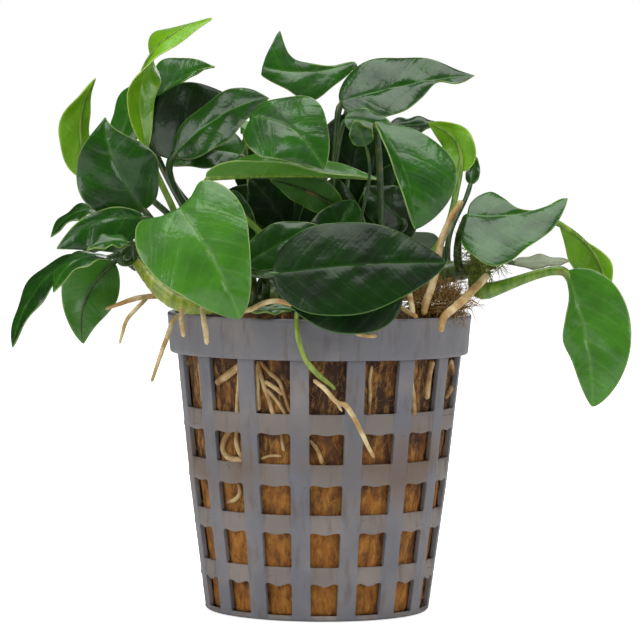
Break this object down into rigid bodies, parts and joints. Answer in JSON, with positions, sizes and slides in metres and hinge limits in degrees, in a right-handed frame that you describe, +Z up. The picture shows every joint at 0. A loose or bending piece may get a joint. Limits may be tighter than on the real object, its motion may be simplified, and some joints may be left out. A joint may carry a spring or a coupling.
{
  "type": "anubias plant in net pot",
  "caption": "Young anubias plant with glossy oval leaves, growing in a round grey slotted net pot filled with stone wool, with roots over the rim.",
  "frame": {"origin": "centre of the net pot's flat underside, on the surface it stands on", "axes": "+Z up along the pot's axis; -Y towards the side with the large heart-shaped and long dark leaves; +X towards the big drooping leaf"},
  "size_m": [0.1005, 0.0717, 0.097],
  "materials": {
    "pot_plastic": "satin moulded grey",
    "stone_wool": "fibrous matt brown",
    "leaf_green": "wet glossy green",
    "leaf_lime": "satin lime green",
    "stem": "satin green",
    "sheath": "satin yellow green",
    "root": "matt tan to cream",
    "moss": "matt moss and old fibres"
  },
  "bodies": {
    "root": {"back_high_leaf": "leaf_green", "back_low_left_leaf": "leaf_green", "back_low_right_leaf": "leaf_green", "back_middle_leaf": "leaf_green", "back_right_leaf": "leaf_green", "big_drooping_leaf": "leaf_green", "bright_edge_leaf": "leaf_green", "bright_fold_leaf": "leaf_green", "dark_back_right_leaf": "leaf_green", "dark_inner_left_leaf": "leaf_green", "dark_inner_right_leaf": "leaf_green", "dark_left_leaf": "leaf_green", "forked_left_root": "root", "front_dark_leaf": "leaf_green", "front_root": "root", "glossy_middle_leaf": "leaf_green", "green_runner": "stem", "grey_left_leaf": "leaf_green", "grey_strip_leaf": "leaf_green", "hanging_left_leaf": "leaf_green", "heart_leaf": "leaf_green", "left_back_leaf": "leaf_green", "left_green_leaf": "leaf_green", "left_inner_leaf": "leaf_green", "left_side_root": "root", "lime_left_leaf": "leaf_lime", "lime_right_leaf": "leaf_lime", "long_cupped_leaf": "leaf_green", "long_drooping_leaf": "leaf_green", "moss_tuft": "moss", "net_pot": "pot_plastic", "olive_leaf": "leaf_green", "pale_edge_leaf": "leaf_green", "pale_torn_leaf": "leaf_green", "rhizome_back": "stem", "rhizome_left": "sheath", "rhizome_left_upper": "stem", "rhizome_middle": "stem", "rhizome_right": "stem", "ridge_leaf": "leaf_green", "right_grey_leaf": "leaf_green", "right_lime_leaf": "leaf_lime", "right_middle_leaf": "leaf_green", "rim_leaf": "leaf_green", "rim_root": "root", "round_dark_leaf": "leaf_green", "short_right_root": "root", "small_curled_leaf": "leaf_green", "small_green_leaf": "leaf_green", "small_grey_leaf": "leaf_green", "tall_right_root": "root", "thick_right_root": "root", "top_middle_leaf": "leaf_green", "top_right_leaf": "leaf_green", "under_dark_leaf": "leaf_green", "veined_inner_leaf": "leaf_green", "wool_plug": "stone_wool", "yellow_front_root": "root", "young_curled_leaf": "leaf_lime"}
  },
  "joints": []
}
